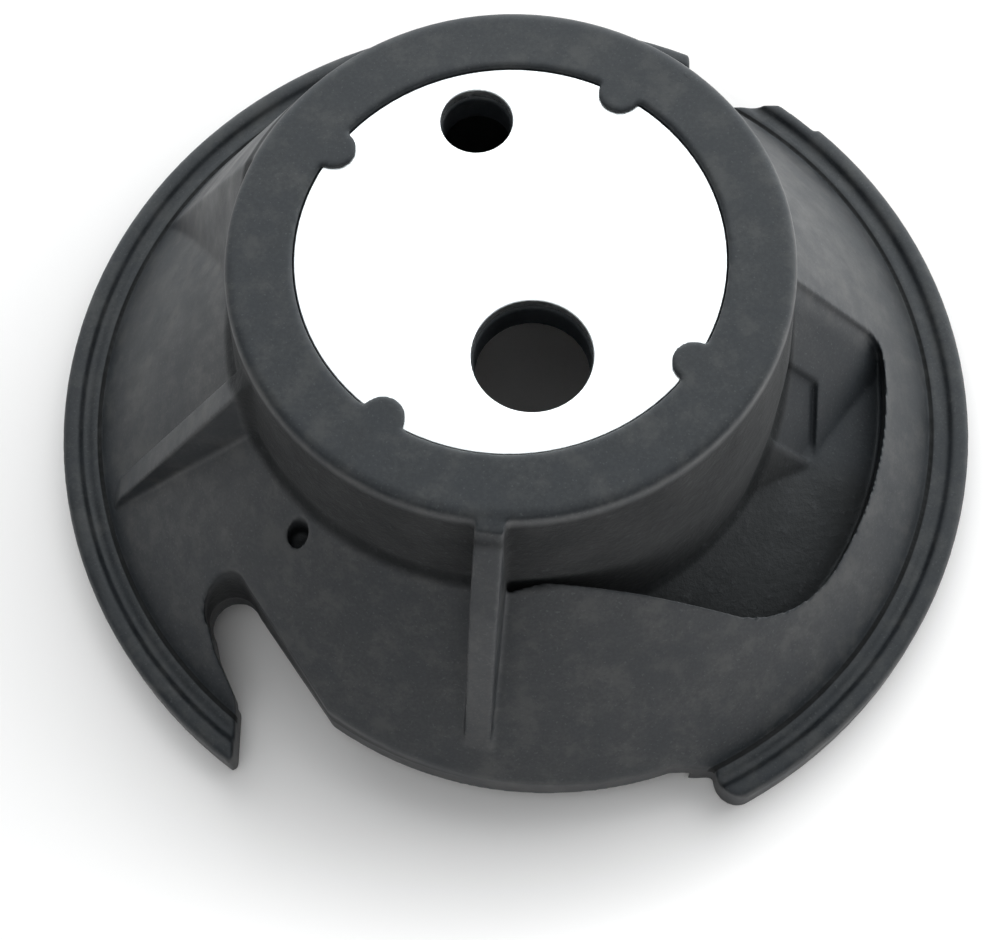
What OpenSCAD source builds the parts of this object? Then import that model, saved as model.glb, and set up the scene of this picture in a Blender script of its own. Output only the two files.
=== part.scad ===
// Drop-in bobbin case, lying open face down with its steel base plate on top.
// The origin is on the axis of the bobbin well, in the plane of its mouth.
// All sizes are in millimetres; angles are measured from +X towards +Y.

/* [Rim] */
// Outer radius of the rim
rim_r = 22; // [21.5:0.1:23]
// Height of the rim's outer edge
rim_h = 2.1; // [2.05:0.05:2.4]
// Radius of the fine line where the cone meets the rim
line_r = 20.15; // [20:0.05:20.2]
// Inner radius of the foot ring under the rim
foot_ring_r = 19.7; // [19.4:0.05:19.8]

/* [Cup] */
// Overall height, to the face of the shoulder ring
cup_h = 17.5; // [17:0.1:18]
// Radius of the shoulder ring's outer edge
shoulder_r = 11.9; // [11.8:0.05:12.1]
// Rounding of the shoulder
shoulder_round = 0.4; // [0.3:0.05:0.8]
// Radius of the cup wall where the cone meets it
wall_foot_r = 12.3; // [12.25:0.05:12.5]
// Height at which the cone meets the cup wall
wall_foot_h = 11.8; // [11:0.05:12.5]
// Radius of the bobbin well
well_r = 10.8; // [10.6:0.05:10.9]
// Height of the well's closed end
well_top = 15.3; // [15:0.05:15.6]

/* [Base plate] */
// Radius of the steel plate
plate_r = 9; // [8.9:0.05:9.2]
// Thickness of the steel plate
plate_t = 0.5; // [0.3:0.05:0.6]
// How far the plate's face lies below the shoulder ring
plate_sink = 0.2; // [0.1:0.05:0.3]
// Radius of the large hole
large_hole_r = 2.5; // [2:0.1:2.8]
// Radius of the small hole
small_hole_r = 1.55; // [1:0.05:2]
// Radius of the lugs that hold the plate
lug_r = 0.95; // [0.6:0.05:1.1]

/* [Ribs] */
// Thickness of the ribs
rib_t = 1.2; // [0.9:0.1:1.5]

/* [Tension spring and screws] */
// Thickness of the leaf spring
leaf_t = 0.25; // [0.2:0.01:0.3]
// Gap between the leaf spring and the boss behind it
leaf_gap = 0.25; // [0.2:0.01:0.3]
// Height of the leaf spring's root
leaf_root_w = 4.2; // [3.8:0.1:4.6]
// Height of the leaf spring's tip
leaf_tip_w = 2.6; // [2:0.1:3]
// Radius of the screws' shanks
shank_r = 0.95; // [0.9:0.01:0.97]
// Radius of the screws' heads
head_r = 1.8; // [1.6:0.05:2]
// Height of the screws' heads
head_t = 0.95; // [0.8:0.05:1.1]
// Outer radius of the threaded inserts
insert_r = 1.6; // [1.4:0.05:1.7]

/* [Hidden] */
$fn = 96;
big = 60;
// How far a cutting shape reaches past the face that it cuts, and how far joined shapes overlap
overcut = 1;
overlap = 0.3;

// Rim section
line_h = 1.85;
line_w = 0.12;
line_d = 0.2;
band_rise = 0.08;
groove_in_r = 20.55;
groove_out_r = 21;
groove_d = 0.1;
groove_side = 0.15;
bead_r = 21.2;
rim_round = 0.35;
rim_chamfer = 0.2;

// Underside of the flange
deck_in_h = 2.6;
deck_out_h = 1.2;
deck_edge_h = 0.6;
collar_r = 12.2;
// Inner radius of the flange's section, inside the cup wall
flange_in_r = 11.2;

// Plate seat, holes and lugs
plate_top = cup_h - plate_sink;
seat_h = plate_top - plate_t;
seat_gap = 0.04;
large_hole = [0.95, -4.65];
small_hole = [-1.5, 6.4];
hole_step = 0.11;
lug_angles = [-33.5, -124, 146.5, 59];
lug_centre_r = 9;

// South edge of the flange: a circle set off the axis
edge_centre = [1.5, -2];
edge_r = 17.05;
// The rim is left out between these two angles
rim_gap = [-125.6, -60];
rim_end_r = 1.15;
rim_end_centre_r = rim_r - rim_end_r + 0.06;
// Straight stretch of the flange's edge that leads to the rim's end
edge_straight = [[6.5, -18.1], [10.3, -17.9]];

// Needle slot: a round end, a straight east side, and a horn at the rim's south-west end
slot_centre = [-12.8, -11.45];
slot_r = 1.15;
// The slot's sides start just inside its round end, the east one at this angle
slot_side_r = 0.97 * slot_r;
slot_side_angle = 34;
slot_side_start = slot_centre + slot_side_r * [cos(slot_side_angle), sin(slot_side_angle)];
slot_side_end = [-8.1, -16.1];
slot_bend = [-13.5, -13.1];
horn_root = [-12.6, -15];

// Notch where the thread leaves through the rim, and the smaller end of the rim beside it
notch = [9, 16.95];
notch_end = [45, 60];
notch_end_r = 21.7;

// Coring pocket beside the cup
pocket_x = -0.2;
pocket_y = [-12.4, 2];
// The pocket widens towards the south rib from this X on
pocket_flare = [1.4, 0.35];
pocket_north_r = 0.9;
pocket_r = 17.45;
pocket_corner_r = 6;
pocket_floor_in = 6.2;
pocket_floor_out = 2.7;
// Ramp in the pocket's north end: its depth below the cone, its fall per mm along X and -Y,
// and the line from which it falls faster, down to the floor
ramp_step = 0.5;
ramp_fall = [1.28, 0.65];
ramp_end_y = -4.6;
ramp_end_fall = [1.28, 1.7];
ramp_from = -60;
// Shallow square cell sunk in the ramp
cell_at = [11.6, -4.3];
cell_size = [2.4, 3.2];
cell_depth = 0.5;

// Ribs: profiles as [distance from the axis, height], and the height of their root in the wall
rib_root_h = 4;
west_rib_y = -5.1;
west_rib = [[10.2, 16.9], [11, 16], [18.5, 3.6], [18.9, 2.6], [18.9, 1.7], [15, 3]];
south_rib_start = [0.9, -0.4];
south_rib_angle = -97.6;
south_rib = [[11.2, 17.45], [12, 17.35], [14.3, 13.3], [15, 11.7], [17.75, 4.2], [18, 3.4], [18, 2.2], [15, 3]];

// Blind index hole in the cone
index_hole = [-9.1, -9.8];
index_hole_r = 0.5;
index_hole_depth = 1.4;

// Spring bay
bay = [62, 121];
bay_in_r = 11.8;
bay_margin = 1;
web_h = 3.5;
boss_r = 13.5;
boss_h = 11.4;
boss_shoulder_h = 1.6;
leaf_mid = 86;
pivot_angle = 108;
tip_angle = 64;
leaf_z = 7.2;
leaf_in_r = boss_r + leaf_gap;
leaf_out_r = leaf_in_r + leaf_t;
leaf_shoulder = 1.6;
pad_gap = 0.05;
pad_r = leaf_root_w / 2 - 0.1;
head_gap = 0.15;
shank_len = 2.25;
head_chamfer = 0.2;
screw_slot = [10, 0.44, 0.45];
screw_cross = [2, 0.4, 0.55];
bore_r = 1;
// Play of the screws in the leaf's holes
adjust_play = 0.35;
root_play = 0.15;
insert_in = 11.4;
insert_out = 13.3;
thread_slot_angle = 101;
thread_slot_w = 0.8;
thread_slot_h = 6.2;
thread_slot_l = 4.3;

// Wing that fills the flange between the cup and the rim
wing_top_r = 11.95;
wing_to = 178;
wing_wall_at = [-17.7, 9.4, 1.3];
wing_wall_turn = [0, 20, 10.5];

function arc(c, r, a0, a1, n) =
    [for (i = [0 : n]) c + r * [cos(a0 + (a1 - a0) * i / n), sin(a0 + (a1 - a0) * i / n)]];

function polar(r, a) = [r * cos(a), r * sin(a)];

// Height of the cone's surface at radius r
function cone_h(r) = wall_foot_h - (wall_foot_h - line_h) * (r - wall_foot_r) / (line_r - wall_foot_r);

// Turns a shape drawn along +X so that it points outwards at angle a and height z
module radial(a, z) {
    translate([0, 0, z]) rotate([0, 0, a]) rotate([0, 90, 0]) children();
}

// Wedge of the plan between two angles
module sector(a0, a1, r = big, n = 8) {
    polygon(concat([[0, 0]], arc([0, 0], r, a0, a1, n)));
}

// ---- Moulded body ----

module rim_profile() {
    band_h = line_h + band_rise;
    polygon(concat(
        [[rim_r - rim_chamfer, 0],
         [foot_ring_r, 0],
         [foot_ring_r, line_h + overlap],
         [line_r, line_h],
         [line_r, line_h - line_d],
         [line_r + line_w, line_h - line_d],
         [line_r + line_w, band_h],
         [groove_in_r, band_h],
         [groove_in_r + groove_side, band_h - groove_d],
         [groove_out_r, band_h - groove_d],
         [bead_r, rim_h]],
        arc([rim_r - rim_round, rim_h - rim_round], rim_round, 90, 0, 5),
        [[rim_r, rim_chamfer]]));
}

module cone_profile() {
    polygon([
        [flange_in_r, deck_in_h],
        [flange_in_r, wall_foot_h],
        [wall_foot_r, wall_foot_h],
        [line_r, line_h],
        [line_r, deck_edge_h],
        [foot_ring_r, deck_out_h]]);
}

module wing_profile() {
    polygon([
        [flange_in_r, deck_in_h],
        [flange_in_r, cup_h - shoulder_round],
        [wing_top_r, cup_h - shoulder_round],
        [line_r, line_h],
        [line_r, deck_edge_h],
        [foot_ring_r, deck_out_h]]);
}

module cup_profile() {
    polygon(concat(
        [[0, 0], [collar_r - rim_chamfer, 0], [collar_r, rim_chamfer], [collar_r, deck_in_h],
         [wall_foot_r, deck_in_h], [wall_foot_r, wall_foot_h]],
        arc([shoulder_r - shoulder_round, cup_h - shoulder_round], shoulder_round, 8, 90, 10),
        [[0, cup_h]]));
}

// Plan of everything that the rim and flange cover
module flange_plan() {
    difference() {
        union() {
            sector(rim_gap[1], 360 + rim_gap[0], rim_r + overcut, 60);
            translate(edge_centre) circle(edge_r);
            translate(polar(rim_end_centre_r, rim_gap[1])) circle(rim_end_r);
            polygon(concat([[0, 0]], edge_straight));
        }
        needle_slot_plan();
        translate(notch) square(big);
        difference() {
            sector(notch_end[0], notch_end[1], rim_r + overcut);
            circle(notch_end_r);
        }
    }
}

module needle_slot_plan() {
    translate(slot_centre) circle(slot_r);
    polygon([
        slot_centre - [slot_side_r, 0],
        slot_centre,
        slot_side_start,
        slot_side_end,
        [slot_side_end[0], -big],
        [horn_root[0], -big],
        horn_root,
        slot_bend]);
}

module pocket_plan() {
    corner_c = [sqrt(pow(pocket_r - pocket_corner_r, 2) - pow(pocket_y[0] + pocket_corner_r, 2)),
                pocket_y[0] + pocket_corner_r];
    corner_a = atan2(corner_c[1], corner_c[0]);
    north_c = [sqrt(pow(pocket_r - pocket_north_r, 2) - pow(pocket_y[1] - pocket_north_r, 2)),
               pocket_y[1] - pocket_north_r];
    north_a = atan2(north_c[1], north_c[0]);
    polygon(concat(
        [[pocket_x, pocket_y[0] - pocket_flare[1]], [pocket_flare[0], pocket_y[0]]],
        arc(corner_c, pocket_corner_r, -90, corner_a, 10),
        arc([0, 0], pocket_r, corner_a, north_a, 24),
        arc(north_c, pocket_north_r, north_a, 90, 5),
        [[well_r, pocket_y[1]], [pocket_x, 0]]));
}

// Space that is cut from the flange: a shallow conical floor, and a ramp up to the north wall
module pocket() {
    intersection() {
        linear_extrude(height = cup_h) pocket_plan();
        difference() {
            rotate_extrude() polygon([
                [well_r, pocket_floor_in],
                [well_r, cup_h],
                [line_r, cup_h],
                [line_r, pocket_floor_out],
                [wall_foot_r, pocket_floor_in]]);
            difference() {
                ramp(ramp_step);
                ramp_cell();
            }
            ramp(ramp_step + cell_depth);
        }
    }
}

// Ramp: two planes that fall to the south and the east, at a depth below the cone's north edge
module ramp(depth) {
    top = wall_foot_h - depth;
    end_top = top - ramp_fall[1] * (pocket_y[1] - ramp_end_y);
    intersection() {
        under_plane([wall_foot_r, pocket_y[1], top], ramp_fall);
        under_plane([wall_foot_r, ramp_end_y, end_top], ramp_end_fall);
        linear_extrude(height = cup_h) sector(ramp_from, 90);
    }
}

// Everything under a plane through a point, which falls so many mm per mm along X and -Y
module under_plane(at, fall) {
    turn_x = asin(fall[1] / norm([fall[0], fall[1], 1]));
    turn_y = atan(fall[0]);
    translate(at) rotate([turn_x, turn_y, 0])
        translate([-big / 2, -big / 2, -big / 2]) cube([big, big, big / 2]);
}

module ramp_cell() {
    translate([cell_at[0], cell_at[1], 0]) cube([cell_size[0], cell_size[1], cup_h]);
}

module flange_solid() {
    difference() {
        union() {
            rotate_extrude() cone_profile();
            intersection() {
                rotate_extrude() wing_profile();
                linear_extrude(height = cup_h) sector(bay[1], wing_to);
                // Leaning wall at the wing's west end
                translate(wing_wall_at) rotate(wing_wall_turn)
                    translate([0, -big / 2, -big / 2]) cube(big);
            }
            rotate_extrude() rim_profile();
        }
        pocket();
        spring_bay();
    }
}

// Room in front of the boss for the leaf spring and its screws
module spring_bay() {
    translate([0, 0, web_h]) linear_extrude(height = cup_h) difference() {
        sector(bay[0], bay[1]);
        circle(bay_in_r);
    }
}

// Rib drawn along +X from the cup wall outwards, with a foot inside the wall
module rib(profile) {
    rotate([90, 0, 0]) translate([0, 0, -rib_t / 2]) linear_extrude(height = rib_t)
        polygon(concat([[profile[0][0], rib_root_h]], profile));
}

module rib_west() {
    translate([0, west_rib_y, 0]) mirror([1, 0, 0]) rib(west_rib);
}

module rib_south() {
    translate([south_rib_start[0], south_rib_start[1], 0]) rotate([0, 0, south_rib_angle])
        rib(south_rib);
}

// Thick part of the cup wall that carries the leaf spring and its screws
module boss() {
    intersection() {
        union() {
            cylinder(r = boss_r, h = boss_h);
            intersection() {
                radial(pivot_angle, leaf_z) cylinder(r = pad_r, h = rim_r);
                cylinder(r = leaf_in_r - pad_gap, h = boss_h);
            }
        }
        linear_extrude(height = cup_h) sector(bay[0] - bay_margin, bay[1] + bay_margin);
    }
    intersection() {
        translate([0, 0, boss_h]) cylinder(r1 = boss_r, r2 = shoulder_r, h = boss_shoulder_h);
        linear_extrude(height = cup_h) sector(bay[0] - bay_margin, bay[1] + bay_margin);
    }
}

module plate_seat() {
    translate([0, 0, seat_h]) cylinder(r = plate_r + seat_gap, h = big);
    translate(concat(large_hole, well_top - overcut)) cylinder(r = large_hole_r - hole_step, h = big);
    translate(concat(small_hole, well_top - overcut)) cylinder(r = small_hole_r - hole_step, h = big);
}

// Lugs: rounded tongues of the shoulder ring that reach over the plate's edge
module lugs() {
    for (a = lug_angles)
        translate(concat(polar(lug_centre_r, a), plate_top)) cylinder(r = lug_r, h = big);
}

module thread_slot() {
    rotate([0, 0, thread_slot_angle]) translate([well_r - overcut, -thread_slot_w / 2, -overcut])
        cube([thread_slot_l, thread_slot_w, thread_slot_h + overcut]);
}

module insert_hole(a) {
    radial(a, leaf_z) translate([0, 0, insert_in])
        cylinder(r = insert_r, h = insert_out - insert_in + overcut);
}

module case_body() {
    color([0.16, 0.18, 0.20]) difference() {
        union() {
            intersection() {
                flange_solid();
                linear_extrude(height = cup_h) flange_plan();
            }
            rotate_extrude() cup_profile();
            rib_west();
            rib_south();
            boss();
        }
        translate([0, 0, -overcut]) cylinder(r = well_r, h = well_top + overcut);
        difference() {
            plate_seat();
            lugs();
        }
        thread_slot();
        insert_hole(leaf_mid);
        insert_hole(pivot_angle);
        translate(concat(index_hole, cone_h(norm(index_hole)) - index_hole_depth))
            cylinder(r = index_hole_r, h = index_hole_depth + overcut);
    }
}

// ---- Steel base plate ----

module base_plate() {
    color([0.86, 0.86, 0.85]) difference() {
        translate([0, 0, seat_h]) cylinder(r = plate_r, h = plate_t);
        translate(large_hole) cylinder(r = large_hole_r, h = big);
        translate(small_hole) cylinder(r = small_hole_r, h = big);
    }
}

// ---- Tension spring, screws and inserts ----

// Outline of the leaf, seen from outside: a wide root, a tapered tongue with a round tip
module leaf_outline() {
    root_t = leaf_in_r * sin(pivot_angle - leaf_mid);
    tip_t = leaf_in_r * sin(leaf_mid - tip_angle);
    root_h = leaf_root_w / 2;
    tip_h = leaf_tip_w / 2;
    translate([root_t, 0]) circle(root_h);
    translate([-tip_t + tip_h, 0]) circle(tip_h);
    polygon([
        [root_t, root_h],
        [-leaf_shoulder, root_h],
        [-tip_t + tip_h, tip_h],
        [-tip_t + tip_h, -tip_h],
        [-leaf_shoulder, -root_h],
        [root_t, -root_h]]);
}

module tension_spring() {
    color([0.62, 0.64, 0.66]) difference() {
        intersection() {
            difference() {
                cylinder(r = leaf_out_r, h = cup_h);
                translate([0, 0, -overcut]) cylinder(r = leaf_in_r, h = big);
            }
            translate([0, 0, leaf_z]) rotate([0, 0, leaf_mid - 90]) rotate([-90, 0, 0])
                mirror([1, 0, 0]) linear_extrude(height = rim_r) leaf_outline();
        }
        radial(leaf_mid, leaf_z) cylinder(r = bore_r + adjust_play, h = rim_r);
        radial(pivot_angle, leaf_z) cylinder(r = bore_r + root_play, h = rim_r);
    }
}

// Screw that points inwards along -Z, with the underside of its head at z = 0
module screw_blank() {
    translate([0, 0, -shank_len]) cylinder(r = shank_r, h = shank_len + overlap);
    cylinder(r = head_r, h = head_t - head_chamfer);
    translate([0, 0, head_t - head_chamfer])
        cylinder(r1 = head_r, r2 = head_r - head_chamfer, h = head_chamfer);
}

// Slot across the head: its length, width and depth
module screw_cut(size) {
    translate([-size[0] / 2, -size[1] / 2, head_t - size[2]]) cube([size[0], size[1], head_t]);
}

module tension_screw() {
    color([0.78, 0.78, 0.76]) radial(leaf_mid, leaf_z) translate([0, 0, leaf_out_r + head_gap])
        difference() {
            screw_blank();
            screw_cut(screw_slot);
        }
}

module spring_screw() {
    color([0.70, 0.70, 0.70]) radial(pivot_angle, leaf_z) translate([0, 0, leaf_out_r + pad_gap])
        difference() {
            screw_blank();
            for (a = [0, 90])
                rotate([0, 0, a]) screw_cut(screw_cross);
        }
}

module threaded_insert(a) {
    color([0.80, 0.64, 0.32]) radial(a, leaf_z) difference() {
        translate([0, 0, insert_in]) cylinder(r = insert_r, h = insert_out - insert_in);
        cylinder(r = bore_r, h = rim_r);
    }
}

module tension_insert() {
    threaded_insert(leaf_mid);
}

module spring_insert() {
    threaded_insert(pivot_angle);
}

case_body();
base_plate();
tension_spring();
tension_screw();
spring_screw();
tension_insert();
spring_insert();
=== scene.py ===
import math
import bpy
from mathutils import Matrix, Vector


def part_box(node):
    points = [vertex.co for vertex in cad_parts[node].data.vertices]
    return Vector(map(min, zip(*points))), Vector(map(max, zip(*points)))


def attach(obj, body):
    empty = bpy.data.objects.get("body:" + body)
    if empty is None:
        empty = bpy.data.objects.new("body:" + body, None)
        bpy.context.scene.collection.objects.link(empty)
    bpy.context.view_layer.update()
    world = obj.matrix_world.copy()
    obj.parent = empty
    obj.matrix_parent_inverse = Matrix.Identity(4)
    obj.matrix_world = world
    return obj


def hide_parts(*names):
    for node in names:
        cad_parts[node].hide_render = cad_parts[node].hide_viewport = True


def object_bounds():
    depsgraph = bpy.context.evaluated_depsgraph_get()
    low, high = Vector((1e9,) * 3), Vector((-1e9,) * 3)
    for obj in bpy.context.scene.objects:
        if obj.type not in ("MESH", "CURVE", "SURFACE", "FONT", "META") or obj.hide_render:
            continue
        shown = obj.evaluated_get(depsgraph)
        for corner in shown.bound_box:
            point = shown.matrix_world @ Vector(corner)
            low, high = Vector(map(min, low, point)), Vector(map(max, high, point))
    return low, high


# A drop-in bobbin case on a pale table: moulded body, steel base plate, tension spring and screws

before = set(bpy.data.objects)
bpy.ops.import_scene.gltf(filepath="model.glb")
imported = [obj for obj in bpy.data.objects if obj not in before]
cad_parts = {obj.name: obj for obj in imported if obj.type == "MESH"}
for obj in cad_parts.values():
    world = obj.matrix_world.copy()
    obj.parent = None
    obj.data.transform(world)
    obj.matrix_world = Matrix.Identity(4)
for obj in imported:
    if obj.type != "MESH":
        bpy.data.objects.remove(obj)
cad_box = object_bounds()

MM = 0.001
scene = bpy.context.scene

# Sizes of the CAD model that the plastic follows, in millimetres
CONE_TOP_R = 12.3    # where the cone meets the cup's wall
CONE_TOP_H = 11.8
CONE_SLOPE = 1.2675  # fall of the cone per millimetre outwards
LINE_R = 20.2        # middle of the fine line beside the rim
DECK_H = 2.7         # floor of the pocket, at the cup

# Rounding of the moulding and of the metal pieces, in millimetres
MOULDED_VOXEL = 0.085
WELD_GAP = 0.002
SCREW_BEVEL = 0.06
PLATE_BEVEL = 0.06
LEAF_BEVEL = 0.04


# ---- Meshes ----

def copy_of_node(node, name, body):
    """A new piece with the node's mesh, which stands for the node."""
    piece = bpy.data.objects.new(name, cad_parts[node].data.copy())
    scene.collection.objects.link(piece)
    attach(piece, body)
    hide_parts(node)
    return piece


def apply_modifiers(piece):
    """Makes the modified mesh the piece's own."""
    graph = bpy.context.evaluated_depsgraph_get()
    mesh = bpy.data.meshes.new_from_object(piece.evaluated_get(graph))
    piece.modifiers.clear()
    piece.data = mesh


def even_normals(piece):
    """Normals weighted by area, so that flat faces shade flat."""
    weighted = piece.modifiers.new("normals", "WEIGHTED_NORMAL")
    weighted.weight = 80
    weighted.keep_sharp = True
    apply_modifiers(piece)


def moulded(piece, voxel, smoothing, triangles):
    """Rounds every edge as moulding does: even voxels, some smoothing, then fewer triangles.

    It works in millimetres, because voxels of the size in metres are too small for the remesh.
    """
    piece.data.transform(Matrix.Scale(1 / MM, 4))
    remesh = piece.modifiers.new("remesh", "REMESH")
    remesh.mode = "VOXEL"
    remesh.voxel_size = voxel * 1
    smooth = piece.modifiers.new("smooth", "SMOOTH")
    smooth.factor = 0.5
    smooth.iterations = smoothing
    apply_modifiers(piece)
    decimate = piece.modifiers.new("decimate", "DECIMATE")
    decimate.ratio = min(1.0, triangles / (2 * len(piece.data.polygons)))
    apply_modifiers(piece)
    piece.data.transform(Matrix.Scale(MM, 4))
    piece.data.shade_smooth()
    even_normals(piece)


def bevelled(piece, width):
    """Breaks the sharp edges of a cut or stamped piece. The width is in millimetres."""
    weld = piece.modifiers.new("weld", "WELD")
    weld.merge_threshold = WELD_GAP * MM
    flat = piece.modifiers.new("flat", "DECIMATE")
    flat.decimate_type = "DISSOLVE"
    flat.angle_limit = math.radians(0.5)
    bevel = piece.modifiers.new("bevel", "BEVEL")
    bevel.width = width * MM
    bevel.segments = 2
    bevel.limit_method = "ANGLE"
    bevel.angle_limit = math.radians(35)
    apply_modifiers(piece)
    piece.data.shade_smooth()
    even_normals(piece)


# ---- Materials ----

class Material:
    """Node tree of one procedural material, worked in the object's own millimetres."""

    def __init__(self, name, metallic=0.0, specular=0.5):
        self.data = bpy.data.materials.new(name)
        self.data.use_nodes = True
        self.tree = self.data.node_tree
        self.shader = self.tree.nodes["Principled BSDF"]
        self.shader.inputs["Metallic"].default_value = metallic
        self.shader.inputs["Specular IOR Level"].default_value = specular
        coords = self.tree.nodes.new("ShaderNodeTexCoord")
        self.place = self.vector("SCALE", coords.outputs["Object"], scale=1 / MM)
        self.geometry = self.tree.nodes.new("ShaderNodeNewGeometry")

    def link(self, value, socket):
        if isinstance(value, bpy.types.NodeSocket):
            self.tree.links.new(value, socket)
        else:
            socket.default_value = value

    def vector(self, operation, a, b=None, scale=None):
        node = self.tree.nodes.new("ShaderNodeVectorMath")
        node.operation = operation
        self.link(a, node.inputs[0])
        if b is not None:
            self.link(b, node.inputs[1])
        if scale is not None:
            node.inputs["Scale"].default_value = scale
        return node.outputs["Value" if operation in ("LENGTH", "DOT_PRODUCT") else "Vector"]

    def math(self, operation, a, b=0.0):
        node = self.tree.nodes.new("ShaderNodeMath")
        node.operation = operation
        self.link(a, node.inputs[0])
        self.link(b, node.inputs[1])
        return node.outputs[0]

    def fade(self, value, start, end, low=0.0, high=1.0):
        """Smooth step from low at start to high at end."""
        node = self.tree.nodes.new("ShaderNodeMapRange")
        node.interpolation_type = "SMOOTHSTEP"
        self.link(value, node.inputs["Value"])
        for socket, number in zip(("From Min", "From Max", "To Min", "To Max"),
                                  (start, end, low, high)):
            node.inputs[socket].default_value = number
        return node.outputs[0]

    def noise(self, scale, detail=2.0, roughness=0.5, stretch=None, place=None):
        """Noise with so many features per millimetre."""
        node = self.tree.nodes.new("ShaderNodeTexNoise")
        vector = place or self.place
        if stretch:
            vector = self.vector("MULTIPLY", vector, stretch)
        self.link(vector, node.inputs["Vector"])
        node.inputs["Scale"].default_value = scale
        node.inputs["Detail"].default_value = detail
        node.inputs["Roughness"].default_value = roughness
        return node.outputs["Fac"]

    def mix(self, factor, a, b):
        node = self.tree.nodes.new("ShaderNodeMix")
        node.data_type = "RGBA"
        self.link(factor, node.inputs[0])
        for value, socket in ((a, node.inputs[6]), (b, node.inputs[7])):
            self.link((*value, 1) if isinstance(value, tuple) else value, socket)
        return node.outputs[2]

    def bump(self, height, distance, normal=None):
        """Bump whose full height is so many millimetres."""
        node = self.tree.nodes.new("ShaderNodeBump")
        node.inputs["Strength"].default_value = 1.0
        node.inputs["Distance"].default_value = distance * MM
        self.link(height, node.inputs["Height"])
        if normal is not None:
            self.link(normal, node.inputs["Normal"])
        return node.outputs[0]

    def axes(self):
        node = self.tree.nodes.new("ShaderNodeSeparateXYZ")
        self.link(self.place, node.inputs[0])
        return node.outputs

    def finish(self, color, roughness, normal):
        self.link(color, self.shader.inputs["Base Color"])
        self.link(roughness, self.shader.inputs["Roughness"])
        self.link(normal, self.shader.inputs["Normal"])
        return self.data


def black_plastic():
    """Satin moulded plastic: fine grain all over, coarse spark-erosion texture in the pocket and
    on the cup's wall; painted shade darkens the pocket, the cup's wall and the fine line beside
    the rim.
    """
    dark_blue, light_blue = (0.003, 0.0045, 0.0065), (0.008, 0.010, 0.013)
    grain_grey, speck_grey = (0.02, 0.022, 0.024), (0.10, 0.10, 0.10)
    # The second tone below, black for the fine line beside the rim, is painted shade
    dust_grey, line_shade_black = (0.04, 0.039, 0.037), (0.003, 0.003, 0.003)
    # The first tone below, for the pocket and the cup's wall, is painted shade
    pocket_and_wall_shade, eroded_light = (0.003, 0.0035, 0.004), (0.03, 0.031, 0.033)

    m = Material("black_plastic")
    x, y, z = m.axes()
    radius = m.math("SQRT", m.math("ADD", m.math("MULTIPLY", x, x), m.math("MULTIPLY", y, y)))

    # Depth below the cone's surface, which is above zero only in the pocket and the spring bay
    cone = m.math("SUBTRACT", CONE_TOP_H + CONE_SLOPE * CONE_TOP_R,
                  m.math("MULTIPLY", radius, CONE_SLOPE))
    depth = m.math("SUBTRACT", cone, z)
    sunk = m.math("MULTIPLY", m.fade(depth, 0.5, 1.2), m.fade(z, DECK_H, DECK_H + 0.3))
    eroded_and_shade = m.math("MULTIPLY", sunk, m.fade(y, -5.5, -3.5, 1, 0))

    # The cup's wall is darker and duller too, by its place on the part: it takes the spark-erosion
    # texture, and its darker colour is painted shade
    wall = m.math("MULTIPLY", m.fade(radius, 11.75, 11.9), m.fade(radius, 12.5, 12.9, 1, 0))
    wall = m.math("MULTIPLY", wall, m.fade(z, 16.6, 17.2, 1, 0))
    eroded_and_shade = m.math("MAXIMUM", eroded_and_shade, wall)

    grain = m.noise(7, 3, 0.6)
    coarse = m.noise(2.6, 4, 0.7)
    mottle = m.noise(0.45, 3, 0.6)
    specks = m.fade(m.noise(8, 1, 0.4), 0.66, 0.74)

    tone = m.fade(mottle, 0.35, 0.65)
    color = m.mix(tone, dark_blue, light_blue)
    grain_share = m.fade(grain, 0.38, 0.68, 0.0, 0.45)
    color = m.mix(grain_share, color, grain_grey)
    color = m.mix(m.math("MULTIPLY", specks, 0.2), color, speck_grey)
    patches = m.fade(m.noise(0.7, 5, 0.7), 0.44, 0.68, 0.0, 0.55)
    dust = m.math("MULTIPLY", patches, m.math("SUBTRACT", 1.0, sunk))
    color = m.mix(dust, color, dust_grey)
    rough_tone = m.math("MULTIPLY", eroded_and_shade, m.fade(coarse, 0.55, 0.75, 0.0, 0.6))
    # Painted shade: the pocket and the cup's wall take a darker colour
    color = m.mix(eroded_and_shade, color, pocket_and_wall_shade)
    color = m.mix(rough_tone, color, eroded_light)

    # The fine line beside the rim is darkened by its place too: painted shade in the groove
    off_line = m.math("ABSOLUTE", m.math("SUBTRACT", radius, LINE_R))
    line = m.math("MULTIPLY", m.fade(off_line, 0.08, 0.14, 1, 0), m.fade(z, 1.3, 1.5))
    line = m.math("MULTIPLY", line, m.fade(z, 2.0, 2.2, 1, 0))
    color = m.mix(line, color, line_shade_black)

    wall_or_line = m.math("MAXIMUM", wall, line)
    dull = m.math("MAXIMUM", m.math("MULTIPLY", wall_or_line, 0.4), m.math("MULTIPLY", sunk, 0.15))
    rough = m.math("ADD", m.fade(mottle, 0.3, 0.7, 0.46, 0.58), dull)
    normal = m.bump(grain, 0.0025)
    normal = m.bump(m.math("MULTIPLY", coarse, eroded_and_shade), 0.06, normal=normal)
    return m.finish(color, rough, normal)


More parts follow.
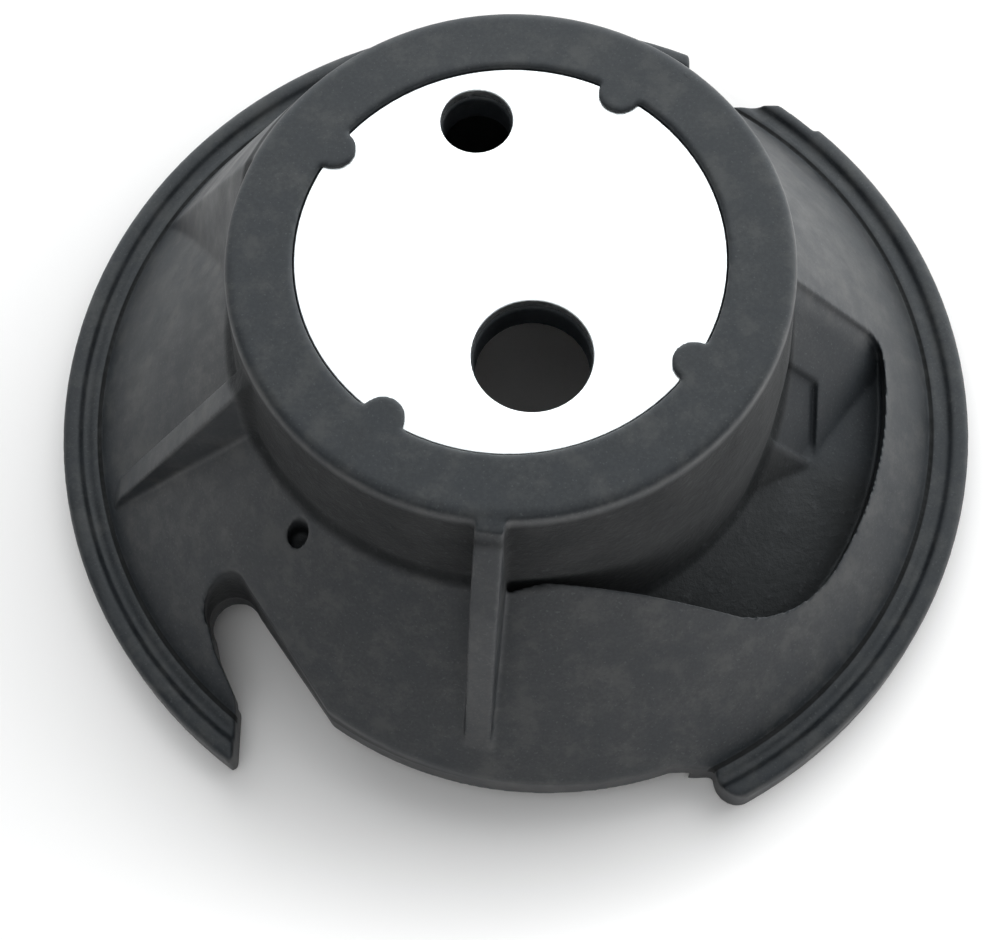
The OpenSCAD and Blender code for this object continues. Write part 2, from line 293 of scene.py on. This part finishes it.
def brushed(name, bright, dull, roughness, stretch):
    """Metal with fine lines along one direction."""
    m = Material(name, metallic=1.0)
    lines = m.noise(9.0, 3, 0.6, stretch=stretch)
    clouds = m.noise(0.35, 3, 0.6)
    tone = m.math("ADD", m.math("MULTIPLY", lines, 0.5), m.math("MULTIPLY", clouds, 0.5))
    color = m.mix(m.fade(tone, 0.35, 0.65), dull, bright)
    # Convex edges are lighter: rubbed wear and a painted highlight
    edge = m.fade(m.geometry.outputs["Pointiness"], 0.52, 0.6)
    worn_and_highlight = tuple(min(1, c * 1.15) for c in bright)
    color = m.mix(m.math("MULTIPLY", edge, 0.5), color, worn_and_highlight)
    rough = m.fade(lines, 0.3, 0.7, roughness - 0.05, roughness + 0.08)
    return m.finish(color, rough, m.bump(lines, 0.004))


def turned(name, bright, dull, roughness, centre, axis):
    """Metal turned on a lathe: fine rings about an axis through the centre."""
    m = Material(name, metallic=1.0)
    offset = m.vector("SUBTRACT", m.place, tuple(centre))
    along = m.vector("DOT_PRODUCT", offset, tuple(axis))
    length = m.vector("LENGTH", offset)
    squared = m.math("SUBTRACT", m.math("MULTIPLY", length, length),
                     m.math("MULTIPLY", along, along))
    ring_r = m.math("SQRT", m.math("MAXIMUM", squared, 0.0))
    combined = m.tree.nodes.new("ShaderNodeCombineXYZ")
    m.link(ring_r, combined.inputs[0])
    m.link(along, combined.inputs[1])
    rings = m.noise(9, 2, 0.5, place=combined.outputs[0])
    clouds = m.noise(0.9, 3, 0.6)
    tone = m.math("ADD", m.math("MULTIPLY", rings, 0.6), m.math("MULTIPLY", clouds, 0.4))
    color = m.mix(m.fade(tone, 0.35, 0.65), dull, bright)
    rough = m.fade(rings, 0.3, 0.7, roughness - 0.05, roughness + 0.08)
    return m.finish(color, rough, m.bump(rings, 0.006))


def paint(piece, material):
    """Gives the piece this one material."""
    piece.data.materials.clear()
    piece.data.materials.append(material)


# ---- Pieces ----

# Bright and dull tone and roughness of each metal
PLATE_STEEL = ((0.95, 0.95, 0.94), (0.91, 0.91, 0.9), 0.35)
LEAF_STEEL = ((0.62, 0.63, 0.65), (0.48, 0.49, 0.51), 0.3)
NICKEL = ((0.80, 0.79, 0.76), (0.66, 0.65, 0.62), 0.24)
BRASS = ((0.84, 0.64, 0.32), (0.70, 0.50, 0.24), 0.3)

case = copy_of_node("case_body", "case_moulding", "case")
moulded(case, voxel=MOULDED_VOXEL, smoothing=13, triangles=650000)
paint(case, black_plastic())

plate = copy_of_node("base_plate", "base_plate_disc", "case")
bevelled(plate, PLATE_BEVEL)
paint(plate, brushed("satin_steel", *PLATE_STEEL, stretch=(1, 0.06, 1)))

leaf = copy_of_node("tension_spring", "tension_leaf", "tension_spring")
bevelled(leaf, LEAF_BEVEL)
paint(leaf, brushed("spring_steel", *LEAF_STEEL, stretch=(0.08, 0.3, 1)))


def centre_of(node):
    """Middle of the node's box, in millimetres."""
    low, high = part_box(node)
    return (Vector(low) + Vector(high)) / 2 / MM


def outward(node):
    """Level direction from the well's axis to the node."""
    centre = centre_of(node)
    return Vector((centre.x, centre.y, 0)).normalized()


for node, name, body, slot, metal in (
        ("tension_screw", "tension_screw_slotted", "tension_screw", "nickel_screw", NICKEL),
        ("spring_screw", "spring_screw_crosshead", "case", "nickel_screw", NICKEL),
        ("tension_insert", "tension_insert_brass", "case", "brass", BRASS),
        ("spring_insert", "spring_insert_brass", "case", "brass", BRASS)):
    piece = copy_of_node(node, name, body)
    bevelled(piece, SCREW_BEVEL)
    paint(piece, turned(name + "_metal", *metal, centre_of(node), outward(node)))

# ---- Floor, lights and camera ----

FLOOR_SIZE = 3.0
half = FLOOR_SIZE / 2
floor_corners = [(-half, -half, 0), (half, -half, 0), (half, half, 0), (-half, half, 0)]
floor_mesh = bpy.data.meshes.new("floor")
floor_mesh.from_pydata(floor_corners, [], [(0, 1, 2, 3)])
floor = bpy.data.objects.new("floor", floor_mesh)
floor.location.z = cad_box[0].z
scene.collection.objects.link(floor)
pale = Material("pale_floor", specular=0.3)
soft = pale.noise(0.02, 2, 0.5)
# Beyond the case's own shadow the floor gives off a little light, more to the right
x, y, z = pale.axes()
far = pale.fade(pale.vector("LENGTH", pale.place), 20, 34)
glow = pale.math("MULTIPLY", far, pale.fade(x, -30, 20, 0.12, 1.1))
pale.link(glow, pale.shader.inputs["Emission Strength"])
pale.shader.inputs["Emission Color"].default_value = (1, 1, 1, 1)
floor_tone = pale.mix(soft, (0.97, 0.915, 0.885), (0.985, 0.93, 0.90))
paint(floor, pale.finish(floor_tone, 0.6, pale.bump(soft, 0.01)))

# The room: dim all round, a large soft window behind and to the right, a soft fill overhead,
# and a pale band near the table. The two sides are directions from the case.
WINDOW_SIDE = (0.32, 0.95, 0.0)
ROOM_LIGHT = 0.22
WINDOW_LIGHT = 2.4
BAND_LIGHT = 1.0
BAND_HEIGHT = 0.35  # of the way from level to straight up
FILL_SIDE = (-0.1, -0.35, 0.93)
FILL_LIGHT = 1.3
SKY_TONE = (0.91, 0.968, 1.0, 1)

world = bpy.data.worlds.new("studio")
scene.world = world
world.use_nodes = True
sky = world.node_tree


def sky_fade(value, start, end, low, high):
    """Smooth step from low at start to high at end."""
    node = sky.nodes.new("ShaderNodeMapRange")
    node.interpolation_type = "SMOOTHSTEP"
    sky.links.new(value, node.inputs["Value"])
    for socket, number in zip(("From Min", "From Max", "To Min", "To Max"),
                              (start, end, low, high)):
        node.inputs[socket].default_value = number
    return node.outputs[0]


def sky_sum(a, b):
    node = sky.nodes.new("ShaderNodeMath")
    node.operation = "ADD"
    sky.links.new(a, node.inputs[0])
    sky.links.new(b, node.inputs[1])
    return node.outputs[0]


direction = sky.nodes.new("ShaderNodeTexCoord").outputs["Generated"]


def sky_glow(side, start, end, strength):
    """Soft glow about one direction; start and end are cosines from it."""
    towards = sky.nodes.new("ShaderNodeVectorMath")
    towards.operation = "DOT_PRODUCT"
    towards.inputs[1].default_value = Vector(side).normalized()
    sky.links.new(direction, towards.inputs[0])
    return sky_fade(towards.outputs["Value"], start, end, 0.0, strength)


height = sky.nodes.new("ShaderNodeSeparateXYZ")
sky.links.new(direction, height.inputs[0])
window = sky_glow(WINDOW_SIDE, 0.0, 0.7, WINDOW_LIGHT)
fill = sky_glow(FILL_SIDE, 0.85, 1.0, FILL_LIGHT)
band = sky_fade(height.outputs["Z"], 0.0, BAND_HEIGHT, ROOM_LIGHT + BAND_LIGHT, ROOM_LIGHT)
background = sky.nodes["Background"]
background.inputs["Color"].default_value = SKY_TONE
sky.links.new(sky_sum(sky_sum(window, fill), band), background.inputs["Strength"])

# The camera stands in front of and above the case and looks down at it
CAMERA_AXES = Matrix(((0.999746, -0.005197, 0.022114),
                      (0.013105, 0.927132, -0.374507),
                      (-0.018562, 0.374704, 0.926962)))
CAMERA_PLACE = Vector((1.3097, -38.8385, 89.492)) * MM
SENSOR_WIDTH = 36    # millimetres, as the lens
LENS = 71.19
NEAREST = 0.001      # metres
camera_data = bpy.data.cameras.new("camera")
camera_data.sensor_width = SENSOR_WIDTH
camera_data.lens = LENS
camera_data.clip_start = NEAREST
camera = bpy.data.objects.new("camera", camera_data)
scene.collection.objects.link(camera)
camera.matrix_world = Matrix.Translation(CAMERA_PLACE) @ CAMERA_AXES.to_4x4()
scene.camera = camera
scene.view_settings.view_transform = "Standard"
